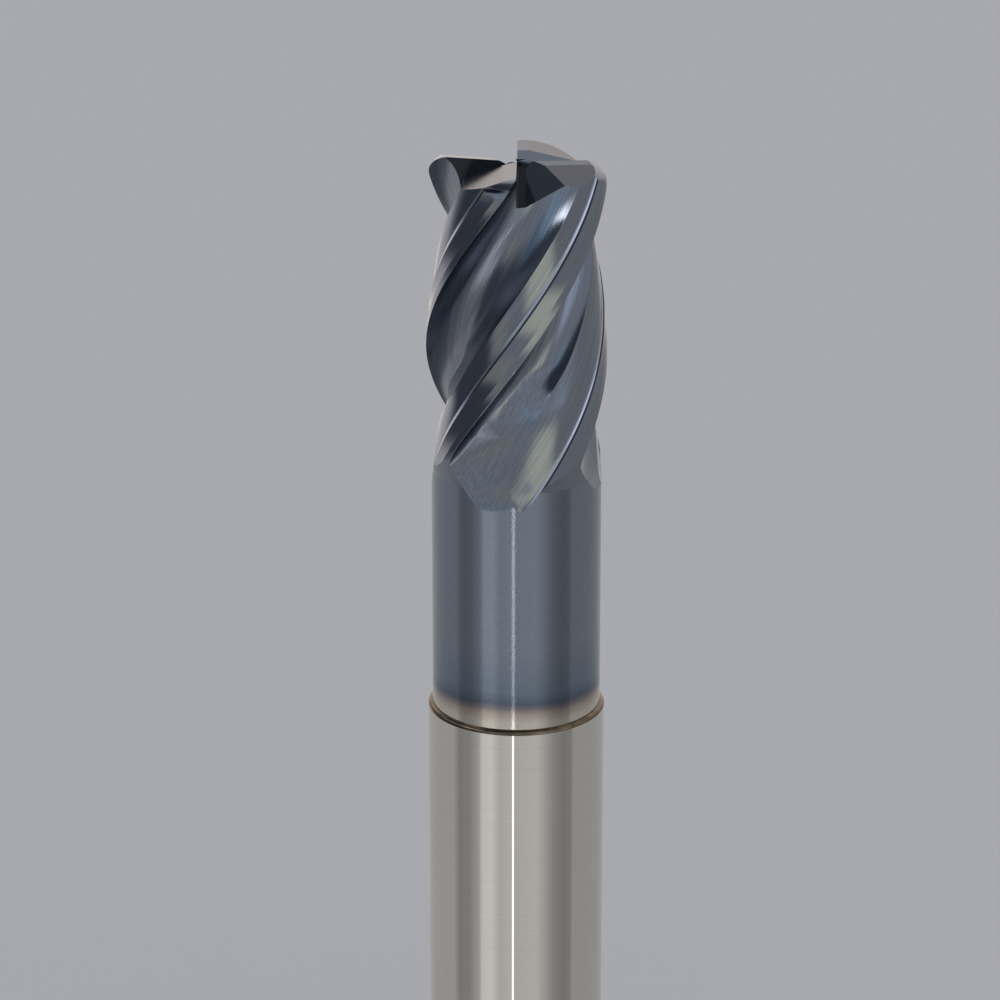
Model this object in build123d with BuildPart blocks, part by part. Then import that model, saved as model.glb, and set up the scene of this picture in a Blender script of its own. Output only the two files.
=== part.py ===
"""Four-flute end mill with a corner radius, a relieved neck and a round shank.

The coated carbide head carries the teeth and the neck.  Its spigot is brazed
into a blind socket in the shank.  The tool stands on the rear end of the
shank: the origin is the centre of that face, +Z points at the cutting end.
"""

from build123d import *
from math import cos, degrees, radians, sin, tan
import os

os.makedirs("parts", exist_ok=True)

# ------------------------------------------------------- driving sizes, mm
cutting_diameter = 12.0
shank_diameter = 12.0
neck_diameter = 11.4
overall_length = 83.0
shank_length = 44.7
corner_radius = 1.5

# Teeth, in the order right, back, left, front.  Angles are in degrees.
tooth_angles = (-3.5, 89.5, 174.0, 269.0)
helix_angle = 36.0

# Flutes: from the rake face of one tooth to the ridge in front of the tooth
# ahead.  Sections are in mm and degrees, with the edge on the X axis.
radial_rake = 8.0
core_radius = 3.6
core_angles = (19.3, 21.0, 24.4, 22.5)
flute_middle_angle = 38.0
ridges = ((45.5, 4.95), (50.5, 5.36), (58.8, 5.30), (54.5, 5.44))

# Run-out: the floor flattens into a facet, and the ridge (as angle behind the
# tooth ahead and radius, one row per mm below the full depth) sweeps round.
full_depth_length = 13.0
facet_start_length = 17.7
flute_end_length = 22.4
facet_normals = (25.5, 52.5)
facet_distances = (4.68, 5.7)
facet_fillet_run = 0.55
ridge_run_out = (
    (48.5, 4.85),
    (50.0, 4.80),
    (51.0, 4.82),
    (51.5, 4.93),
    (50.5, 5.06),
    (48.0, 5.17),
    (45.5, 5.27),
    (42.5, 5.38),
    (38.0, 5.50),
    (30.0, 5.66),
    (23.0, 6.10),
    (22.0, 6.50),
)
ridge_blend_lengths = ((11.0, 16.0), (14.5, 19.5), (14.5, 19.5), (14.5, 19.5))

# Lands and hollow behind each edge, as (angle behind the edge, radius).
margin_angle = 0.7
primary_end = (5.5, 5.94)
heel = (16.0, 5.80)
heel_wall_slope = 42.0
heel_wall_line = 0.04
hollow_start = (20.5, 5.60)
hollow_lift = 0.12
hollow_lift_lengths = (21.0, 22.5)

# End teeth.
dish_angle = 2.0
end_land_width = 0.75
end_primary_angle = 7.0
end_secondary_angle = 16.0
gash_angles = (22.0, 28.0, 28.0, 28.0)
gash_centre_depths = (1.2, 0.5, 0.1, 0.35)
gash_floor_widths = (0.4, 0.4, 0.15, 0.6)
gash_wall_angles = (27.0, 27.0, 27.0, 24.0)
gash_fillet = 0.12

# Neck and joint to the shank.
neck_start_length = 19.4
neck_taper_length = 1.8
spigot_diameter = 7.0
spigot_length = 14.0
braze_gap = 0.1
braze_fillet = 0.3
rear_chamfer = 0.8

# ------------------------------------------------------------- worked out
cutting_radius = cutting_diameter / 2
shank_radius = shank_diameter / 2
neck_radius = neck_diameter / 2
spigot_radius = spigot_diameter / 2
neck_bottom = shank_length + braze_gap
spigot_bottom = neck_bottom - spigot_length
outside = cutting_radius + 2.0              # clear of the blank
twist = degrees(tan(radians(helix_angle)) / cutting_radius)
section_step = 1.0                          # spacing of the flute sections


def polar(radius, angle):
    """The point at that radius and angle in the plane of a section."""
    return Vector(radius * cos(radians(angle)), radius * sin(radians(angle)))


def behind(angle_and_radius):
    """A point of the lands, which trail the edge clockwise."""
    angle, radius = angle_and_radius
    return polar(radius, -angle)


def mix(first, second, share):
    """The point at that share of the way from the first to the second."""
    return first + (second - first) * share


def share_of(value, start, end):
    """How far a value is from start to end, from 0 to 1."""
    return min(1.0, max(0.0, (value - start) / (end - start)))


def smooth_share(value, start, end):
    """The same share, easing in and out."""
    share = share_of(value, start, end)
    return share * share * (3 - 2 * share)


def spacing(index):
    """Angle from one edge to the edge ahead of it."""
    return (tooth_angles[(index + 1) % 4] - tooth_angles[index]) % 360


def ridge(index, depth):
    """Crest between a flute's floor and the hollow of the tooth ahead."""
    place = min(max(0.0, depth - full_depth_length), len(ridge_run_out) - 1.001)
    row = int(place)
    here = Vector(*ridge_run_out[row])
    below = Vector(*ridge_run_out[row + 1])
    run_out = mix(here, below, place - row)
    angle, radius = ridges[index]
    blend = smooth_share(depth, *ridge_blend_lengths[index])
    return mix(polar(radius, angle), polar(run_out.Y, spacing(index) - run_out.X), blend)


def section_plane(tooth_angle, depth):
    """Section plane whose X axis follows the tooth's edge down the helix."""
    x_dir = polar(1, tooth_angle - twist * depth)
    return Plane(origin=(0, 0, overall_length - depth), x_dir=tuple(x_dir), z_dir=(0, 0, 1))


def flute_outline(index, depth):
    """Air between one edge's rake face and the heel of the tooth ahead."""
    inward = polar(1, 180 + radial_rake)
    edge = polar(cutting_radius, 0)
    fall = max(0.0, (depth - facet_start_length) / (flute_end_length - facet_start_length))
    normal_angle = facet_normals[0] + (facet_normals[1] - facet_normals[0]) * fall
    distance = facet_distances[0] + (facet_distances[1] - facet_distances[0]) * fall**2
    normal = polar(1, normal_angle)
    corner = edge + inward * ((distance - edge.dot(normal)) / inward.dot(normal))
    facet_foot = corner - inward * facet_fillet_run
    facet_core = corner + polar(facet_fillet_run, normal_angle + 90)
    blend = smooth_share(depth, full_depth_length, facet_start_length)
    foot = mix(edge + inward * 0.3, facet_foot, blend)
    core = mix(polar(core_radius, core_angles[index]), facet_core, blend)

    heel_angle = spacing(index) - heel[0]
    lift = polar(hollow_lift * share_of(depth, *hollow_lift_lengths) ** 2, heel_angle)
    down = polar(1, heel_angle - 90 - heel_wall_slope)
    top = polar(heel[1], heel_angle) + lift + down * heel_wall_line
    start = polar(hollow_start[1], spacing(index) - hollow_start[0]) + lift
    with BuildLine() as outline:
        Line(edge - inward * outside, foot)
        floor = TangentArc(foot, core, tangent=inward)
        TangentArc(core, ridge(index, depth), tangent=floor % 1)
        wall = TangentArc(top, start, tangent=down)
        TangentArc(start, ridge(index, depth), tangent=wall % 1)
        middle = polar(3 * outside, flute_middle_angle)
        Polyline(top, top - down * 2, middle, edge - inward * outside)
    return outline.line


def land_outline():
    """Air outside the primary and secondary lands of one tooth."""
    margin = polar(cutting_radius, -margin_angle)
    ahead = margin + (margin - behind(primary_end)) * 0.5
    beyond = behind(heel) + (behind(heel) - behind(primary_end)) * 0.8
    ahead_out = ahead * (outside / ahead.length)
    beyond_out = beyond * (outside / beyond.length)
    with BuildLine() as outline:
        Polyline(ahead_out, ahead, behind(primary_end), beyond, beyond_out, close=True)
    return outline.line


def helical_cut(tooth_angle, outline_at):
    """Cut through sections, given by depth, that follow one tooth down the helix."""
    count = round(flute_end_length + 2)
    with BuildPart() as cut:
        for row in range(count + 1):
            depth = row * section_step - 1
            with BuildSketch(section_plane(tooth_angle, depth)):
                add(outline_at(depth))
                make_face()
        loft()
    return cut.part


def flute(index):
    """One helical flute with the hollow of the tooth ahead of it."""
    return helical_cut(tooth_angles[index], lambda depth: flute_outline(index, depth))


def sector(start_angle, end_angle):
    """Everything near the tip between two end edges."""
    with BuildPart() as wedge:
        with BuildSketch(Plane.XY.offset(overall_length - 6)):
            with BuildLine():
                Polyline(
                    (0, 0),
                    polar(2 * outside, start_angle),
                    polar(3 * outside, (start_angle + end_angle) / 2),
                    polar(2 * outside, end_angle),
                    close=True,
                )
            make_face()
        extrude(amount=9)
    return wedge.part


def end_plane(tooth_angle, slope, centre_height):
    """Plane across an end edge: X points ahead of it, Z outwards along it."""
    outward = polar(cos(radians(slope)), tooth_angle) + Vector(0, 0, sin(radians(slope)))
    ahead = polar(1, tooth_angle + 90)
    return Plane(origin=(0, 0, centre_height), x_dir=tuple(ahead), z_dir=tuple(outward))


def end_relief(tooth_angle, trailing_sector):
    """Air above the primary and secondary relief of one end tooth."""
    flat_radius = cutting_radius - corner_radius
    centre = overall_length - flat_radius * tan(radians(dish_angle))
    primary_fall = end_land_width * tan(radians(end_primary_angle))
    secondary_width = 8.0
    secondary_fall = secondary_width * tan(radians(end_secondary_angle))
    with BuildPart() as cut:
        with BuildSketch(end_plane(tooth_angle, dish_angle, centre).offset(-2)):
            with BuildLine():
                Polyline(
                    (0.01, 0),
                    (-end_land_width, -primary_fall),
                    (-end_land_width - secondary_width, -primary_fall - secondary_fall),
                    (-end_land_width - secondary_width, 3),
                    (0.01, 3),
                    close=True,
                )
            make_face()
        extrude(amount=outside + 4)
        add(trailing_sector, mode=Mode.INTERSECT)
    return cut.part


def end_gash(index, leading_sector):
    """Gash in front of one end tooth, falling outwards into the flute."""
    floor_width = gash_floor_widths[index]
    wall_width = 7.0
    wall_rise = wall_width * tan(radians(gash_wall_angles[index]))
    centre = overall_length - gash_centre_depths[index]
    plane = end_plane(tooth_angles[index], -gash_angles[index], centre)
    with BuildPart() as cut:
        with BuildSketch(plane.offset(-4)):
            with BuildLine():
                Polyline(
                    (gash_fillet, 0),
                    (floor_width, 0),
                    (floor_width + wall_width, wall_rise),
                    (floor_width + wall_width, wall_rise + 4),
                    (0, wall_rise + 4),
                    (0, gash_fillet),
                )
                RadiusArc((0, gash_fillet), (gash_fillet, 0), -gash_fillet)
            make_face()
        extrude(amount=outside + 8)
        add(leading_sector, mode=Mode.INTERSECT)
    return cut.part


# ----------------------------------------------------------- cutting head
tip = overall_length
taper_top = tip - neck_start_length
taper_bottom = taper_top - neck_taper_length

with BuildPart() as cutting_head:
    with BuildSketch(Plane.XZ):
        with BuildLine():
            Polyline(
                (0, spigot_bottom),
                (spigot_radius, spigot_bottom),
                (spigot_radius, neck_bottom),
                (neck_radius, neck_bottom),
                (neck_radius, taper_bottom),
                (cutting_radius, taper_top),
                (cutting_radius, tip),
                (0, tip),
                close=True,
            )
        make_face()
    revolve(axis=Axis.Z)
    fillet(cutting_head.edges().sort_by(Axis.Z)[-1], corner_radius)
    for tooth_angle in tooth_angles:
        add(helical_cut(tooth_angle, lambda depth: land_outline()), mode=Mode.SUBTRACT)
    for index, tooth_angle in enumerate(tooth_angles):
        previous_angle = tooth_angles[index - 1] - (360 if index == 0 else 0)
        next_angle = tooth_angles[(index + 1) % 4] + (360 if index == 3 else 0)
        trailing = sector(previous_angle, tooth_angle)
        leading = sector(tooth_angle, next_angle)
        add(flute(index), mode=Mode.SUBTRACT)
        add(end_relief(tooth_angle, trailing), mode=Mode.SUBTRACT)
        add(end_gash(index, leading), mode=Mode.SUBTRACT)
cutting_head.part.label = "cutting_head"
export_step(cutting_head.part, "parts/cutting_head.step")

# ------------------------------------------------------------ braze joint
with BuildPart() as braze_joint:
    with BuildSketch(Plane.XZ):
        with BuildLine():
            Polyline(
                (0, spigot_bottom - braze_gap),
                (spigot_radius + braze_gap, spigot_bottom - braze_gap),
                (spigot_radius + braze_gap, shank_length),
                (shank_radius, shank_length),
                (neck_radius, shank_length + braze_fillet),
                (neck_radius, neck_bottom),
                (spigot_radius, neck_bottom),
                (spigot_radius, spigot_bottom),
                (0, spigot_bottom),
                close=True,
            )
        make_face()
    revolve(axis=Axis.Z)
braze_joint.part.label = "braze_joint"
export_step(braze_joint.part, "parts/braze_joint.step")

# ------------------------------------------------------------------ shank
with BuildPart() as shank:
    Cylinder(shank_radius, shank_length, align=(Align.CENTER, Align.CENTER, Align.MIN))
    chamfer(shank.edges().sort_by(Axis.Z)[0], rear_chamfer)
    with Locations((0, 0, shank_length)):
        Hole(spigot_radius + braze_gap, depth=spigot_length)
shank.part.label = "shank"
export_step(shank.part, "parts/shank.step")
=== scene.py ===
"""End mill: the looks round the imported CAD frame.

The head, the braze ring and the shank are rebuilt here on the same sections as
the CAD, with meshes fine enough for polished metal, and get procedural metal
and coating materials.
"""

from math import atan2, cos, degrees, pi, radians, sin, sqrt, tan

import bmesh
import bpy
from mathutils import Matrix, Vector


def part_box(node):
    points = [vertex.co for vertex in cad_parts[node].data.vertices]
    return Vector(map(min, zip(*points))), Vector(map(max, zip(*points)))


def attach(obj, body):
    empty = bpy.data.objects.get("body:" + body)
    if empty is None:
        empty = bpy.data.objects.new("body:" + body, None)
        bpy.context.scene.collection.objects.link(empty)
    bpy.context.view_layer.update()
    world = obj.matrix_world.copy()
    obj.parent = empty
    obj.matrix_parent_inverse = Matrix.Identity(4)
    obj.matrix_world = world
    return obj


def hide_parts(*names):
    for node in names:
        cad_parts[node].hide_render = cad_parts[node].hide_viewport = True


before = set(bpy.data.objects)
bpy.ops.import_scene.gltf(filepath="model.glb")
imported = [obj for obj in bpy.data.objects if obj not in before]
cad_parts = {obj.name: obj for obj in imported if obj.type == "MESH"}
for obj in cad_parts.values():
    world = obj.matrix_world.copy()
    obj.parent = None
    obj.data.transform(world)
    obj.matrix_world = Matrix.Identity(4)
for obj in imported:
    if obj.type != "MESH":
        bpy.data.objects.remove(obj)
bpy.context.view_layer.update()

MM = 0.001

# ------------------------------------------------- sizes from the frame, mm
head_low, head_high = (Vector(corner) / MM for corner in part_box("cutting_head"))
shank_high = Vector(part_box("shank")[1]) / MM
braze_low = Vector(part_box("braze_joint")[0]) / MM
TIP = head_high.z
SHANK_TOP = shank_high.z
SHANK_RADIUS = shank_high.x
SPIGOT_BOTTOM = head_low.z
SOCKET_BOTTOM = braze_low.z

# ------------------------- the tool's own sizes, as in the CAD, mm and degrees
CUTTING_RADIUS = 6.0
NECK_RADIUS = 5.7
CORNER_RADIUS = 1.5
TOOTH_ANGLES = (-3.5, 89.5, 174.0, 269.0)       # right, back, left, front
HELIX_ANGLE = 36.0

# Flute floor: from the rake face round the core to the ridge.
RADIAL_RAKE = 8.0
RAKE_FACE_WIDTH = 0.3
CORE_RADIUS = 3.6
CORE_ANGLES = (19.3, 21.0, 24.4, 22.5)
FLUTE_MIDDLE_ANGLE = 38.0

# Ridge between the floor and the hollow of the tooth ahead: angle ahead of the
# flute's own edge and radius.
RIDGES = ((45.5, 4.95), (50.5, 5.36), (58.8, 5.30), (54.5, 5.44))

# The same ridge where the flute runs out: angle behind the tooth ahead and
# radius, one pair per mm below the full depth.
RIDGE_RUN_OUT = (
    (48.5, 4.85), (50.0, 4.80), (51.0, 4.82), (51.5, 4.93), (50.5, 5.06), (48.0, 5.17),
    (45.5, 5.27), (42.5, 5.38), (38.0, 5.50), (30.0, 5.66), (23.0, 6.10), (22.0, 6.50),
)
RIDGE_BLEND_LENGTHS = ((11.0, 16.0), (14.5, 19.5), (14.5, 19.5), (14.5, 19.5))

# Run-out facet.  Lengths are from the tip.
FULL_DEPTH_LENGTH = 13.0
FACET_START_LENGTH = 17.7
FLUTE_END_LENGTH = 22.4
FACET_NORMALS = (25.5, 52.5)
FACET_DISTANCES = (4.68, 5.7)
FACET_FILLET_RUN = 0.55

# Lands and hollow behind each edge, as (angle behind the edge, radius).
MARGIN_ANGLE = 0.7
PRIMARY_END = (5.5, 5.94)
HEEL = (16.0, 5.80)
HEEL_WALL_SLOPE = 42.0
HOLLOW_START = (20.5, 5.60)
HOLLOW_LIFT = 0.12
HOLLOW_LIFT_LENGTHS = (21.0, 22.5)

# End teeth.
DISH_ANGLE = 2.0
END_OVERCUT = 0.01              # how far the relief cuts past the edge
END_LAND_WIDTH = 0.75
END_PRIMARY_ANGLE = 7.0
END_SECONDARY_WIDTH = 8.0
END_SECONDARY_ANGLE = 16.0
GASH_ANGLES = (22.0, 28.0, 28.0, 28.0)
GASH_CENTRE_DEPTHS = (1.2, 0.5, 0.1, 0.35)
GASH_FLOOR_WIDTHS = (0.4, 0.4, 0.15, 0.6)
GASH_WALL_WIDTH = 7.0
GASH_WALL_ANGLES = (27.0, 27.0, 27.0, 24.0)
GASH_FILLET = 0.12

# Neck and joint to the shank.
NECK_START_LENGTH = 19.4
NECK_TAPER_LENGTH = 1.8
SPIGOT_RADIUS = 3.5
BRAZE_GAP = 0.1
BRAZE_FILLET = 0.3
REAR_CHAMFER = 0.8

OUTSIDE = CUTTING_RADIUS + 2.0  # clear of the blank
TWIST = degrees(tan(radians(HELIX_ANGLE)) / CUTTING_RADIUS)

# ------------------------------------------------------------ mesh fineness
ROW_STEP = 0.15                 # mm between mesh rows along a flute
FLOOR_STEPS = 32                # round the core
FLANK_STEPS = 24                # from the core or the heel to the ridge
HEEL_STEPS = 16                 # round the small wall behind a heel
PAINTED_SHADE_STEPS = 5                  # of them painted dark next to the heel: painted shade
PAINTED_HIGHLIGHT_STEPS = 7                 # of them painted bright after the dark ones: a painted highlight
GASH_FILLET_STEPS = 6
CORNER_STEPS = 24
ROUND_SEGMENTS = 512            # round the blank, neck and shank
SHARP_ANGLE = 7.0               # creases of the head steeper than this stay crisp
TURNED_SHARP_ANGLE = 25.0       # the same on the shank and braze ring

# Surface kinds of the head, in the order of its finishes. The last two are painted light: a painted
# highlight on the heel wall, and painted shade on the gashes, rake sides and beside the heel.
ROUND, FLUTE, HOLLOW, LAND, END, END_BACK, PAINTED_HIGHLIGHT, PAINTED_SHADE = range(8)


# ------------------------------------------------------------ plane geometry
def polar(radius, angle):
    """The point at that radius and angle in the plane of a section."""
    return Vector((radius * cos(radians(angle)), radius * sin(radians(angle))))


def behind(angle_and_radius):
    """A point of the lands, which trail the edge clockwise."""
    angle, radius = angle_and_radius
    return polar(radius, -angle)


def arc(start, end, direction, count):
    """Points on the arc that leaves start in that direction and reaches end."""
    normal = Vector((-direction.y, direction.x)).normalized()
    chord = end - start
    reach = chord.length_squared / (2 * chord.dot(normal))
    centre = start + normal * reach
    first = atan2(start.y - centre.y, start.x - centre.x)
    sweep = 2 * atan2(chord.dot(normal), chord.dot(direction.normalized()))
    radius = abs(reach)
    turns = [first + sweep * i / count for i in range(count + 1)]
    return [centre + Vector((cos(t), sin(t))) * radius for t in turns]


def leaving(points):
    """The direction in which a run of points ends."""
    return (points[-1] - points[-2]).normalized()


# ------------------------------------------------------------- mesh building
def mesh_object(name, points, faces, kinds=None):
    """A mesh object from points in millimetres, with a surface kind per face."""
    mesh = bpy.data.meshes.new(name)
    mesh.from_pydata([Vector(p) * MM for p in points], [], faces)
    for face, kind in zip(mesh.polygons, kinds or []):
        face.material_index = kind
    piece = bpy.data.objects.new(name, mesh)
    bpy.context.scene.collection.objects.link(piece)
    build = bmesh.new()
    build.from_mesh(mesh)
    bmesh.ops.recalc_face_normals(build, faces=build.faces)
    build.to_mesh(mesh)
    build.free()
    return piece


def stack(name, rings, kinds):
    """A closed solid through a stack of rings, with a surface kind per side."""
    count = len(rings[0])
    points = [p for ring in rings for p in ring]
    faces = []
    for row in range(len(rings) - 1):
        low, high = row * count, (row + 1) * count
        for i in range(count):
            j = (i + 1) % count
            faces.append((low + i, low + j, high + j, high + i))
    faces.append(tuple(reversed(range(count))))
    faces.append(tuple(range(len(points) - count, len(points))))
    return mesh_object(name, points, faces, kinds * (len(rings) - 1) + [kinds[0]] * 2)


def turned(name, profile):
    """A solid of revolution from (radius, height) points, ends on the axis."""
    points, rows = [], []
    for radius, height in profile:
        if radius == 0:
            rows.append([len(points)] * ROUND_SEGMENTS)
            points.append((0, 0, height))
            continue
        rows.append(list(range(len(points), len(points) + ROUND_SEGMENTS)))
        for i in range(ROUND_SEGMENTS):
            spot = polar(radius, 360 * i / ROUND_SEGMENTS)
            points.append((spot.x, spot.y, height))
    faces = []
    for low, high in zip(rows, rows[1:]):
        for i in range(ROUND_SEGMENTS):
            j = (i + 1) % ROUND_SEGMENTS
            corners = dict.fromkeys((low[i], low[j], high[j], high[i]))
            if len(corners) > 2:
                faces.append(tuple(corners))
    return mesh_object(name, points, faces)


def apply_modifiers(piece):
    """Makes the modifiers' result the piece's own mesh."""
    graph = bpy.context.evaluated_depsgraph_get()
    mesh = bpy.data.meshes.new_from_object(piece.evaluated_get(graph))
    piece.modifiers.clear()
    piece.data = mesh


def combine(piece, operation, others):
    """Cuts the others from a piece, or keeps what it shares with them."""
    for other in others:
        change = piece.modifiers.new("combine", "BOOLEAN")
        change.operation = operation
        change.solver = "MANIFOLD"
        change.object = other
    apply_modifiers(piece)
    for other in others:
        bpy.data.objects.remove(other)


def smooth_with_creases(piece, angle):
    """Smooth shading, crisp where faces meet at more than that angle."""
    build = bmesh.new()
    build.from_mesh(piece.data)
    for face in build.faces:
        face.smooth = True
    for edge in build.edges:
        edge.smooth = edge.is_manifold and edge.calc_face_angle() < radians(angle)
    build.to_mesh(piece.data)
    build.free()


# ------------------------------------------------------------------- cutters
def share_of(value, start, end):
    """How far a value is from start to end, from 0 to 1."""
    return min(1, max(0, (value - start) / (end - start)))


def smooth_share(value, start, end):
    """The same share, easing in and out."""
    share = share_of(value, start, end)
    return share * share * (3 - 2 * share)


def turned_point(point, angle):
    """A point turned about the tool's axis."""
    return Matrix.Rotation(radians(angle), 2) @ point


def helical_cutter(name, outline, kinds, tooth_angle):
    """A stack of sections, given by depth, that follows the helix down from the tip."""
    rings = []
    rows = round((FLUTE_END_LENGTH + 2) / ROW_STEP)
    for row in range(rows + 1):
        depth = row * ROW_STEP - 1
        section = [turned_point(p, tooth_angle - TWIST * depth) for p in outline(depth)]
        rings.append([(p.x, p.y, TIP - depth) for p in section])
    return stack(name, rings, kinds)


def spacing(index):
    """Angle from one edge to the edge ahead of it."""
    return (TOOTH_ANGLES[(index + 1) % 4] - TOOTH_ANGLES[index]) % 360


def ridge(index, depth):
    """Crest between a flute's floor and the hollow of the tooth ahead."""
    last = len(RIDGE_RUN_OUT) - 1
    along = min(max(0, depth - FULL_DEPTH_LENGTH), last - 0.001)
    row = int(along)
    # A Catmull-Rom curve through the run-out's pairs.
    knots = [RIDGE_RUN_OUT[min(max(0, row + k), last)] for k in (-1, 0, 1, 2)]
    before, here, after, beyond = [Vector(knot) for knot in knots]
    step = along - row
    square = before * 2 - here * 5 + after * 4 - beyond
    cube = here * 3 - before - after * 3 + beyond
    run_out = here + ((after - before) + (square + cube * step) * step) * step * 0.5
    blend = smooth_share(depth, *RIDGE_BLEND_LENGTHS[index])
    angle, radius = RIDGES[index]
    return polar(radius, angle).lerp(polar(run_out.y, spacing(index) - run_out.x), blend)


def flute_floor(index, depth):
    """Section of a flute from its rake face to the ridge at its far side.

    Below the full depth the floor flattens into a facet that runs out of the
    neck without following the helix.
    """
    inward = polar(1, 180 + RADIAL_RAKE)
    edge = polar(CUTTING_RADIUS, 0)
    foot = edge + inward * RAKE_FACE_WIDTH
    core = polar(CORE_RADIUS, CORE_ANGLES[index])
    fall = max(0, (depth - FACET_START_LENGTH) / (FLUTE_END_LENGTH - FACET_START_LENGTH))
    normal = FACET_NORMALS[0] + (FACET_NORMALS[1] - FACET_NORMALS[0]) * fall
    distance = FACET_DISTANCES[0] + (FACET_DISTANCES[1] - FACET_DISTANCES[0]) * fall**2
    along_rake = (edge.dot(polar(1, normal)) - distance) / -inward.dot(polar(1, normal))
    corner = edge + inward * along_rake
    facet_foot = corner - inward * FACET_FILLET_RUN
    facet_core = corner + polar(FACET_FILLET_RUN, normal + 90)
    blend = smooth_share(depth, FULL_DEPTH_LENGTH, FACET_START_LENGTH)
    floor = arc(foot.lerp(facet_foot, blend), core.lerp(facet_core, blend), inward, FLOOR_STEPS)
    wall = arc(floor[-1], ridge(index, depth), leaving(floor), FLANK_STEPS)
    return [edge - inward * OUTSIDE] + floor + wall[1:]


def tooth_hollow(index, depth):
    """Section of the hollow behind the tooth ahead, from its heel to the ridge."""
    heel_angle = spacing(index) - HEEL[0]
    lift = polar(HOLLOW_LIFT * share_of(depth, *HOLLOW_LIFT_LENGTHS) ** 2, heel_angle)
    heel = polar(HEEL[1], heel_angle)
    start = polar(HOLLOW_START[1], spacing(index) - HOLLOW_START[0]) + lift
    inward = polar(1, heel_angle - 90 - HEEL_WALL_SLOPE)
    wall = arc(heel + lift, start, inward, HEEL_STEPS)
    strip = arc(start, ridge(index, depth), leaving(wall), FLANK_STEPS)
    return [heel + lift - inward * 2] + wall + strip[1:]


def flute_outline(index, depth):
    """Air between one edge's rake face and the heel of the tooth ahead."""
    floor = flute_floor(index, depth)
    hollow = tooth_hollow(index, depth)
    middle = polar(3 * OUTSIDE, FLUTE_MIDDLE_ANGLE)
    return floor + hollow[-2::-1] + [middle]


def land_outline(depth):
    """Air outside the primary and secondary lands of one tooth, alike at any depth."""
    margin = polar(CUTTING_RADIUS, -MARGIN_ANGLE)
    ahead = margin + (margin - behind(PRIMARY_END)) * 0.5
    beyond = behind(HEEL) + (behind(HEEL) - behind(PRIMARY_END)) * 0.8
    ahead_out = ahead * (OUTSIDE / ahead.length)
    beyond_out = beyond * (OUTSIDE / beyond.length)
    return [ahead_out, ahead, behind(PRIMARY_END), beyond, beyond_out]


def flute(index):
    """One helical flute with the hollow of the tooth ahead of it."""
    floor_sides = len(flute_floor(index, 0)) - 1
    all_sides = len(flute_outline(index, 0))
    wall_sides = PAINTED_HIGHLIGHT_STEPS + PAINTED_SHADE_STEPS + 3
    # The heel wall gets a painted highlight and, next to the heel, painted shade.
    kinds = [FLUTE] * floor_sides + [HOLLOW] * (all_sides - floor_sides - wall_sides)
    kinds += [PAINTED_HIGHLIGHT] * PAINTED_HIGHLIGHT_STEPS + [PAINTED_SHADE] * (PAINTED_SHADE_STEPS + 3)
    return helical_cutter("flute", lambda depth: flute_outline(index, depth), kinds, TOOTH_ANGLES[index])


def dress(pieces, finishes):
    """Gives pieces the head's finishes, in their order."""
    for piece in pieces:
        for finish in finishes:
            piece.data.materials.append(finish)


def sector(start_angle, end_angle):
    """Everything near the tip between two end edges."""
    outline = [
        Vector((0, 0)),
        polar(2 * OUTSIDE, start_angle),
        polar(3 * OUTSIDE, (start_angle + end_angle) / 2),
        polar(2 * OUTSIDE, end_angle),
    ]
    heights = (TIP - 6, TIP + 3)
    # The side at the start angle gets painted shade.
    return stack("sector", [[(p.x, p.y, h) for p in outline] for h in heights], [PAINTED_SHADE] + [END] * 3)


def end_prism(name, outline, kinds, index, slope, centre, runs):
    """An outline swept along an end edge: X ahead of it, Y up from it."""
    angle = TOOTH_ANGLES[index]
    flat = polar(1, angle)
    outward = Vector((flat.x * cos(radians(slope)), flat.y * cos(radians(slope)), sin(radians(slope))))
    ahead = Vector((*polar(1, angle + 90), 0))
    up = outward.cross(ahead)
    origin = Vector((0, 0, centre))
    rings = [[origin + outward * run + ahead * p[0] + up * p[1] for p in outline] for run in runs]
    return stack(name, rings, kinds)


def end_relief(index, trailing_sector, finishes):
    """Air above the primary and secondary relief of one end tooth."""
    centre = TIP - (CUTTING_RADIUS - CORNER_RADIUS) * tan(radians(DISH_ANGLE))
    primary_fall = END_LAND_WIDTH * tan(radians(END_PRIMARY_ANGLE))
    width = END_LAND_WIDTH + END_SECONDARY_WIDTH
    fall = primary_fall + END_SECONDARY_WIDTH * tan(radians(END_SECONDARY_ANGLE))
    front = END_OVERCUT
    outline = [(front, 0), (-END_LAND_WIDTH, -primary_fall), (-width, -fall), (-width, 3), (front, 3)]
    kinds = [END, END_BACK, END, END, END]
    cut = end_prism("end_relief", outline, kinds, index, DISH_ANGLE, centre, (-2, OUTSIDE + 2))
    dress([cut, trailing_sector], finishes)
    combine(cut, "INTERSECT", [trailing_sector])
    return cut


def end_gash(index, leading_sector, finishes):
    """Gash in front of one end tooth, falling outwards into the flute."""
    floor = GASH_FLOOR_WIDTHS[index]
    far = floor + GASH_WALL_WIDTH
    rise = GASH_WALL_WIDTH * tan(radians(GASH_WALL_ANGLES[index]))
    centre = TIP - GASH_CENTRE_DEPTHS[index]
    corner = arc(Vector((0, GASH_FILLET)), Vector((GASH_FILLET, 0)), Vector((0, -1)), GASH_FILLET_STEPS)
    outline = [tuple(p) for p in corner]
    outline += [(floor, 0), (far, rise), (far, rise + 4), (0, rise + 4)]
    # The gash's fillet, floor and rake side get painted shade.
    kinds = [PAINTED_SHADE] * len(corner) + [LAND] * 3 + [PAINTED_SHADE]
    cut = end_prism("gash", outline, kinds, index, -GASH_ANGLES[index], centre, (-4, OUTSIDE + 4))
    dress([cut, leading_sector], finishes)
    combine(cut, "INTERSECT", [leading_sector])
    return cut


# -------------------------------------------------------------------- pieces
def steps(start, end, size):
    """Evenly spaced values from start to end, about size apart."""
    count = max(1, round(abs(end - start) / size))
    return [start + (end - start) * i / count for i in range(count + 1)]


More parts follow.
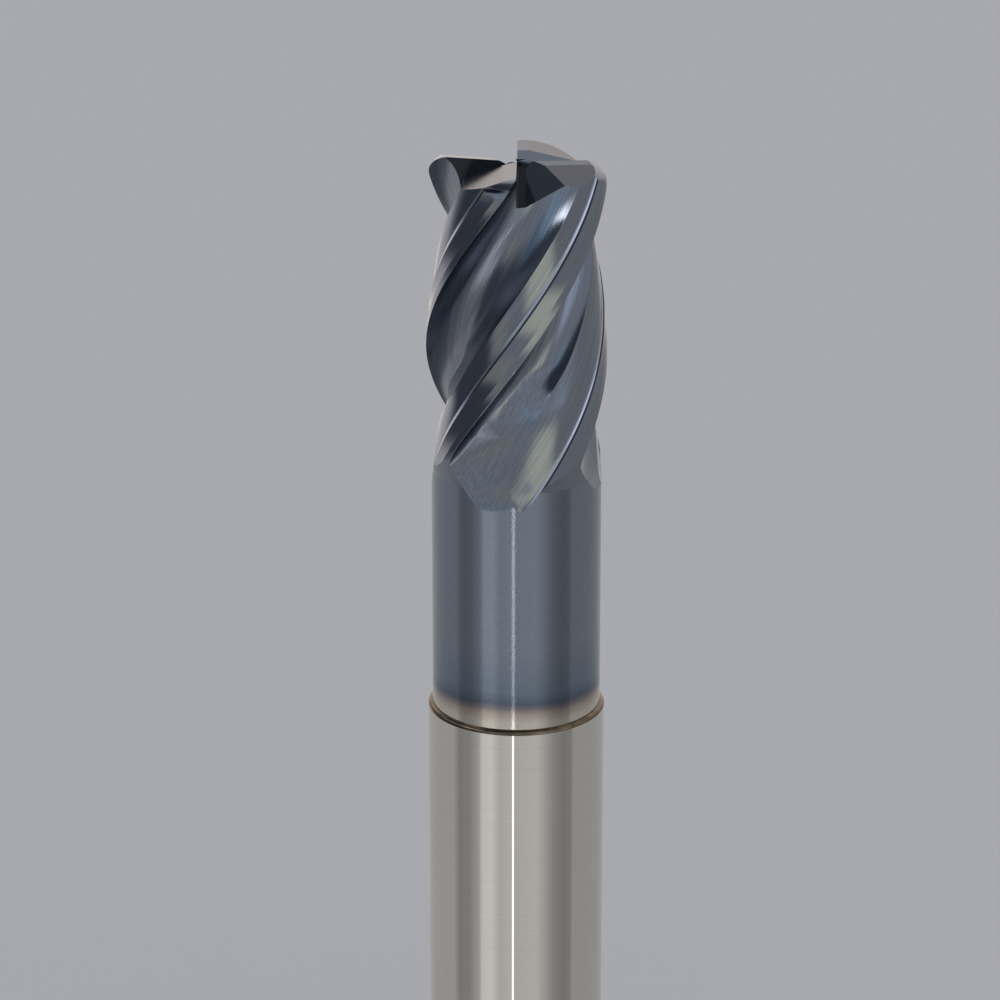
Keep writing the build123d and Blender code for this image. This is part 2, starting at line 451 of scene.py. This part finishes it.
def head_profile():
    """Outline of the ground blank: spigot, neck, cutting part and corner."""
    neck_bottom = SHANK_TOP + BRAZE_GAP
    taper_top = TIP - NECK_START_LENGTH
    taper_bottom = taper_top - NECK_TAPER_LENGTH
    profile = [(0, SPIGOT_BOTTOM), (SPIGOT_RADIUS, SPIGOT_BOTTOM), (SPIGOT_RADIUS, neck_bottom)]
    profile += [(NECK_RADIUS, z) for z in steps(neck_bottom, taper_bottom, 1.0)]
    for z in steps(taper_bottom, taper_top, 0.25)[1:]:
        share = (z - taper_bottom) / NECK_TAPER_LENGTH
        profile.append((NECK_RADIUS + (CUTTING_RADIUS - NECK_RADIUS) * share, z))
    corner_bottom = TIP - CORNER_RADIUS
    profile += [(CUTTING_RADIUS, z) for z in steps(taper_top, corner_bottom, 0.5)[1:]]
    centre_radius = CUTTING_RADIUS - CORNER_RADIUS
    for i in range(1, CORNER_STEPS + 1):
        turn = polar(CORNER_RADIUS, 90 * i / CORNER_STEPS)
        profile.append((centre_radius + turn.x, corner_bottom + turn.y))
    profile += [(r, TIP) for r in steps(centre_radius, 0, 0.5)[1:]]
    return profile


def make_cutting_head(finishes):
    """The fluted head, cut from its blank as a grinder would."""
    head = turned("cutting_head_ground", head_profile())
    dress([head], finishes)
    cutters = []
    for index, angle in enumerate(TOOTH_ANGLES):
        before = TOOTH_ANGLES[index - 1] - (360 if index == 0 else 0)
        after = TOOTH_ANGLES[(index + 1) % 4] + (360 if index == 3 else 0)
        helical = [flute(index), helical_cutter("lands", land_outline, [LAND] * 5, angle)]
        dress(helical, finishes)
        relief = end_relief(index, sector(before, angle), finishes)
        gash = end_gash(index, sector(angle, after), finishes)
        cutters += helical + [relief, gash]
    combine(head, "DIFFERENCE", cutters)
    smooth_with_creases(head, SHARP_ANGLE)
    return head


def make_braze_ring():
    """The braze film round the spigot, with its fillet showing at the step."""
    head_bottom = SHANK_TOP + BRAZE_GAP
    film = SPIGOT_RADIUS + BRAZE_GAP
    fillet = [(r, SHANK_TOP + BRAZE_FILLET * sqrt(1 - ((r - NECK_RADIUS) / BRAZE_FILLET) ** 2))
              for r in steps(SHANK_RADIUS, NECK_RADIUS, 0.03)]
    profile = [(0, SOCKET_BOTTOM), (film, SOCKET_BOTTOM), (film, SHANK_TOP)]
    profile += fillet
    profile += [(NECK_RADIUS, head_bottom), (SPIGOT_RADIUS, head_bottom)]
    profile += [(SPIGOT_RADIUS, SPIGOT_BOTTOM), (0, SPIGOT_BOTTOM)]
    ring = turned("braze_ring", profile)
    smooth_with_creases(ring, TURNED_SHARP_ANGLE)
    return ring


def make_shank():
    """The ground shank with its socket and rear chamfer."""
    chamfer = REAR_CHAMFER
    socket = SPIGOT_RADIUS + BRAZE_GAP
    profile = [(0, 0), (SHANK_RADIUS - chamfer, 0)]
    profile += [(SHANK_RADIUS, z) for z in steps(chamfer, SHANK_TOP, 2.0)]
    profile += [(socket, SHANK_TOP), (socket, SOCKET_BOTTOM), (0, SOCKET_BOTTOM)]
    shank = turned("shank_ground", profile)
    smooth_with_creases(shank, TURNED_SHARP_ANGLE)
    return shank


# ----------------------------------------------------------------- materials
def new_material(name):
    """A node material and its Principled BSDF."""
    material = bpy.data.materials.new(name)
    material.use_nodes = True
    return material, material.node_tree.nodes["Principled BSDF"]


def add_node(tree, kind, inputs=None, **settings):
    """A node with its settings, its sockets set or linked by name or place."""
    node = tree.nodes.new("ShaderNode" + kind)
    for name, value in settings.items():
        setattr(node, name, value)
    for name, value in (inputs or {}).items():
        socket = node.inputs[name]
        if isinstance(value, bpy.types.NodeSocket):
            tree.links.new(value, socket)
        else:
            socket.default_value = value
    return node


def maths(tree, operation, *values):
    """The result of a Math node."""
    return add_node(tree, "Math", dict(enumerate(values)), operation=operation).outputs[0]


def ramp(tree, value, stops):
    """A colour ramp's output; stops are (place, colour)."""
    node = add_node(tree, "ValToRGB", {0: value})
    band = node.color_ramp
    while len(band.elements) < len(stops):
        band.elements.new(0.5)
    for element, (place, colour) in zip(band.elements, stops):
        element.position = place
    for element, (place, colour) in zip(band.elements, stops):
        element.color = (*colour, 1)
    return node.outputs[0]


def mix_colours(tree, share, first, second):
    """A blend of two colours."""
    node = add_node(tree, "Mix", data_type="RGBA")
    for socket, value in zip((node.inputs[0], node.inputs[6], node.inputs[7]), (share, first, second)):
        if isinstance(value, bpy.types.NodeSocket):
            tree.links.new(value, socket)
        else:
            socket.default_value = (*value, 1)
    return node.outputs[2]


def place(tree):
    """The surface point in metres."""
    return add_node(tree, "TexCoord").outputs["Object"]


def height(tree):
    """The surface point's height in millimetres."""
    z = add_node(tree, "SeparateXYZ", {0: place(tree)}).outputs["Z"]
    return maths(tree, "DIVIDE", z, MM)


def unwound(tree):
    """The surface point turned back along the helix, so flutes become straight."""
    z = height(tree)
    depth = maths(tree, "SUBTRACT", TIP, z)
    angle = maths(tree, "MULTIPLY", depth, radians(TWIST))
    inputs = {"Vector": place(tree), "Angle": angle}
    return add_node(tree, "VectorRotate", inputs, rotation_type="Z_AXIS").outputs[0]


def streaks(tree, vector, across, along):
    """Noise drawn out into lines: its frequency across and along, per metre."""
    scaled = add_node(tree, "VectorMath", {0: vector, 1: (across, across, along)}, operation="MULTIPLY")
    inputs = {"Vector": scaled.outputs[0], "Scale": 1.0, "Detail": 3.0, "Roughness": 0.6}
    return add_node(tree, "TexNoise", inputs).outputs[0]


def grinding_bump(tree, lines, depth):
    """A bump from a value, its depth in metres."""
    return add_node(tree, "Bump", {"Height": lines, "Distance": depth, "Strength": 1.0}).outputs[0]


# Colours of the metals, and two painted colours of the coating.
COAT = (0.20, 0.23, 0.28)
# Painted highlight on the heel wall.
HEEL_PAINTED_HIGHLIGHT = (0.42, 0.48, 0.57)
# Painted shade on the gashes, rake sides and beside the heel.
PAINTED_SHADE_COAT = (0.035, 0.04, 0.05)
END_COAT = (0.095, 0.123, 0.172)
END_BACK_COAT = (0.083, 0.10, 0.129)
BARE = (0.535, 0.52, 0.487)
BRAZE = (0.15, 0.115, 0.08)

# The coating's colours as it thins out towards the braze: height in mm, colour.
COATING_END = (
    (45.4, (0.52, 0.49, 0.43)),
    (46.1, (0.36, 0.31, 0.27)),
    (46.45, (0.20, 0.18, 0.20)),
    (46.8, (0.10, 0.125, 0.17)),
    (47.6, (0.15, 0.19, 0.24)),
    (50.7, COAT),
)


def metal(name, colour, roughness):
    """A metal of one colour, with its node tree and shader."""
    material, shader = new_material(name)
    shader.inputs["Metallic"].default_value = 1.0
    shader.inputs["Roughness"].default_value = roughness
    shader.inputs["Base Color"].default_value = (*colour, 1)
    return material, material.node_tree, shader


def tinted(tree, value, colour, contrast):
    """A colour that wavers lighter and darker with a noise value."""
    dark = tuple(c * (1 - contrast) for c in colour)
    light = tuple(c * (1 + contrast) for c in colour)
    return ramp(tree, value, [(0.36, dark), (0.64, light)])


def helical_lines(tree):
    """Grinding lines along the flutes."""
    return streaks(tree, unwound(tree), 7000, 130)


def fine_grain(tree):
    """A fine even grain."""
    return streaks(tree, place(tree), 9000, 9000)


def coated_material(name, lines, depth, roughness, colour=COAT, contrast=0.12):
    """The dark blue-grey coating over a ground surface."""
    material, tree, shader = metal(name, colour, roughness)
    value = lines(tree)
    tree.links.new(tinted(tree, value, colour, contrast), shader.inputs["Base Color"])
    tree.links.new(grinding_bump(tree, value, depth), shader.inputs["Normal"])
    return material


def coated_round_material():
    """The coated neck: it thins to bare metal just above the braze."""
    material, tree, shader = metal("coated_round", COAT, 0.05)
    low, high = COATING_END[0][0], COATING_END[-1][0]
    wander = maths(tree, "MULTIPLY_ADD", streaks(tree, place(tree), 250, 250), 0.5, -0.25)
    level = maths(tree, "ADD", height(tree), wander)
    share = add_node(tree, "MapRange", {0: level, 1: low, 2: high}).outputs[0]
    colour = ramp(tree, share, [((h - low) / (high - low), c) for h, c in COATING_END])
    grain = fine_grain(tree)
    shade = tinted(tree, grain, (0.96, 0.96, 0.96), 0.06)
    mixed = add_node(tree, "VectorMath", {0: colour, 1: shade}, operation="MULTIPLY").outputs[0]
    tree.links.new(mixed, shader.inputs["Base Color"])
    tree.links.new(grinding_bump(tree, grain, 3e-6), shader.inputs["Normal"])
    return material


def head_finishes():
    """One finish per kind of surface of the head, in their order."""
    return [
        coated_round_material(),
        coated_material("coated_flute", helical_lines, 4e-6, 0.17),
        coated_material("coated_hollow", helical_lines, 2.5e-6, 0.13),
        coated_material("coated_land", helical_lines, 1.5e-6, 0.12, contrast=0.06),
        coated_material("coated_end", fine_grain, 1e-6, 0.16, END_COAT, 0.05),
        coated_material("coated_end_back", fine_grain, 1e-6, 0.18, END_BACK_COAT, 0.05),
        # Painted highlight on the heel wall.
        coated_material("coated_heel_painted_highlight", helical_lines, 1e-6, 0.10, HEEL_PAINTED_HIGHLIGHT),
        # Painted shade on the gashes, rake sides and beside the heel.
        coated_material("coated_painted_shade", fine_grain, 1e-6, 0.2, PAINTED_SHADE_COAT),
    ]


def ground_shank_material():
    """Bright ground carbide."""
    material, tree, shader = metal("ground_shank", BARE, 0.05)
    value = streaks(tree, place(tree), 60, 9000)
    tree.links.new(tinted(tree, value, BARE, 0.02), shader.inputs["Base Color"])
    tree.links.new(grinding_bump(tree, value, 1.5e-7), shader.inputs["Normal"])
    return material


def braze_material():
    """Bronze-coloured braze, darkened by heat."""
    material, tree, shader = metal("braze", BRAZE, 0.2)
    mottle = streaks(tree, place(tree), 900, 900)
    tree.links.new(tinted(tree, mottle, BRAZE, 0.3), shader.inputs["Base Color"])
    return material


# ------------------------------------------------------ studio and the camera
CAMERA_PITCH = 20.257           # degrees down
CAMERA_LENS = 158.4
CAMERA_DISTANCE = 294.91
CAMERA_AIM_X = -1.108
CAMERA_AIM_DEPTH = 23.68        # below the tip
FLOOR_COLOUR = (0.685, 0.705, 0.742)

# The bare room by elevation.
ROOM = (
    (-75, (0.16, 0.17, 0.18)),
    (-50, (0.40, 0.38, 0.38)),
    (-25, (0.46, 0.44, 0.43)),
    (20, (0.56, 0.58, 0.60)),
    (90, (0.60, 0.60, 0.62)),
)

# Panels the head reflects, each laid over those before it: azimuth from the
# camera, elevation, half width, half height (degrees) and colour.
HEAD_PANELS = {
    "back wall, warm": (176, 24, 42, 36, (1.15, 1.00, 0.92)),
    "back left, warm": (-148, -15, 34, 14, (0.92, 0.84, 0.80)),
    "low left": (-125, -45, 30, 14, (0.66, 0.60, 0.60)),
    "dark low right": (75, -58, 60, 16, (0.17, 0.17, 0.19)),
    "front low": (-15, -36, 22, 12, (1.05, 0.98, 0.95)),
    "dark left": (-78, -14, 36, 14, (0.12, 0.12, 0.14)),
    "dark far left": (-105, 6, 48, 8, (0.12, 0.12, 0.14)),
    "blue left": (-85, 18, 48, 6, (0.22, 0.30, 0.38)),
    "blue left edge": (-60, 26, 40, 4, (0.60, 0.78, 0.95)),
    "bright strip": (-67, 34, 14, 3, (5.6, 5.4, 5.2)),
    "right hand room": (90, -8, 60, 14, (0.48, 0.46, 0.45)),
    "front cream": (16, -8, 18, 9, (1.25, 1.17, 0.90)),
    "front tan": (-38, -7, 12, 4, (0.62, 0.58, 0.50)),
    "front blue": (4, -14, 6, 3, (0.45, 0.56, 0.66)),
    "cream low right": (76, -26, 10, 6, (0.78, 0.70, 0.54)),
    "white blue": (50, 16, 28, 10, (0.95, 1.00, 1.12)),
    "dark above": (-45, 56, 22, 11, (0.03, 0.03, 0.04)),
    "dark behind": (-130, 50, 26, 13, (0.10, 0.11, 0.12)),
    "dark top": (0, 78, 200, 12, (0.10, 0.10, 0.12)),
}

# Light that the neck and shank reflect, this far below the horizon, by azimuth.
# The band is whole up to the first angle off that level and gone at the second.
BODY_LEVEL = 24.0
BODY_BAND = (5.0, 7.5)
BODY_PANELS = (
    (-180, 0.45), (-135, 0.50), (-91, 0.52),    # room behind and to the left
    (-80, 0.33), (-64, 0.36), (-50, 0.56),      # dark screen on the left
    (-46, 0.88), (-33, 0.95),                   # bright wall
    (-22, 0.68), (-5.6, 0.76),                  # beside the camera
    (-5.0, 3.4), (-3.5, 3.4),                   # lamp
    (-2.9, 0.69), (27, 0.74),                   # right of the camera
    (50, 0.39), (64, 0.31), (77, 0.34),         # dark screen on the right
    (80, 0.47), (180, 0.45),                    # room to the right
)


def soft_panel(tree, colour, azimuth, elevation, panel):
    """Lays one soft-edged panel over what is behind it."""
    centre, rise, half_width, half_height, panel_colour = panel
    across = maths(tree, "WRAP", maths(tree, "SUBTRACT", azimuth, centre), 180.0, -180.0)
    across = maths(tree, "DIVIDE", across, half_width)
    up = maths(tree, "DIVIDE", maths(tree, "SUBTRACT", elevation, rise), half_height)
    across_squared = maths(tree, "MULTIPLY", across, across)
    up_squared = maths(tree, "MULTIPLY", up, up)
    away = maths(tree, "SQRT", maths(tree, "ADD", across_squared, up_squared))
    edge = {0: away, 1: 1.5, 2: 0.6, 3: 0.0, 4: 1.0}
    share = add_node(tree, "MapRange", edge, interpolation_type="SMOOTHSTEP")
    return mix_colours(tree, share.outputs[0], colour, panel_colour)


def set_world():
    """A pale room whose floor is dark, with soft panels round the tool."""
    world = bpy.data.worlds.new("studio")
    bpy.context.scene.world = world
    world.use_nodes = True
    tree = world.node_tree
    direction = add_node(tree, "TexCoord").outputs["Generated"]
    axes = add_node(tree, "SeparateXYZ", {0: direction}).outputs
    ahead = maths(tree, "MULTIPLY", axes["Y"], -1.0)
    azimuth = maths(tree, "DEGREES", maths(tree, "ARCTAN2", axes["X"], ahead))
    elevation = maths(tree, "DEGREES", maths(tree, "ARCSINE", axes["Z"]))
    low = maths(tree, "MULTIPLY_ADD", elevation, 1 / 180, 0.5)
    colour = ramp(tree, low, [((e + 90) / 180, c) for e, c in ROOM])
    for panel in HEAD_PANELS.values():
        colour = soft_panel(tree, colour, azimuth, elevation, panel)
    turn = maths(tree, "MULTIPLY_ADD", azimuth, 1 / 360, 0.5)
    around = ramp(tree, turn, [((a + 180) / 360, (v, v, v)) for a, v in BODY_PANELS])
    off_level = maths(tree, "ABSOLUTE", maths(tree, "ADD", elevation, BODY_LEVEL))
    fade = {0: off_level, 1: BODY_BAND[1], 2: BODY_BAND[0], 3: 0.0, 4: 1.0}
    band = add_node(tree, "MapRange", fade)
    colour = mix_colours(tree, band.outputs[0], colour, around)
    background = tree.nodes["Background"]
    tree.links.new(colour, background.inputs["Color"])
    background.inputs["Strength"].default_value = 1.0


def make_floor():
    """A plain pale floor, kept out of reflections."""
    bpy.ops.mesh.primitive_plane_add(size=20.0)
    floor = bpy.context.object
    floor.name = "floor"
    material, shader = new_material("floor")
    shader.inputs["Base Color"].default_value = (*FLOOR_COLOUR, 1)
    shader.inputs["Roughness"].default_value = 1.0
    shader.inputs["Specular IOR Level"].default_value = 0.0
    floor.data.materials.append(material)
    floor.visible_glossy = False


def make_camera():
    """A long lens a little above the tip, as the photograph has."""
    pitch = radians(CAMERA_PITCH)
    data = bpy.data.cameras.new("camera")
    data.sensor_width = 36.0
    data.lens = CAMERA_LENS
    data.clip_start = 0.01
    camera = bpy.data.objects.new("camera", data)
    bpy.context.scene.collection.objects.link(camera)
    aim = Vector((CAMERA_AIM_X, 0, TIP - CAMERA_AIM_DEPTH))
    offset = Vector((0, -cos(pitch), sin(pitch))) * CAMERA_DISTANCE
    camera.location = (aim + offset) * MM
    camera.rotation_euler = (pi / 2 - pitch, 0, 0)
    bpy.context.scene.camera = camera


# ------------------------------------------------------------------ assembly
head = make_cutting_head(head_finishes())
braze = make_braze_ring()
shank = make_shank()
shank.data.materials.append(ground_shank_material())
braze.data.materials.append(braze_material())
for piece, node, finish in (
    (head, "cutting_head", "coated_carbide"),
    (braze, "braze_joint", "braze_alloy"),
    (shank, "shank", "ground_shank"),
):
    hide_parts(node)
    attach(piece, "root")

make_floor()
set_world()
make_camera()
bpy.context.scene.view_settings.view_transform = "Standard"
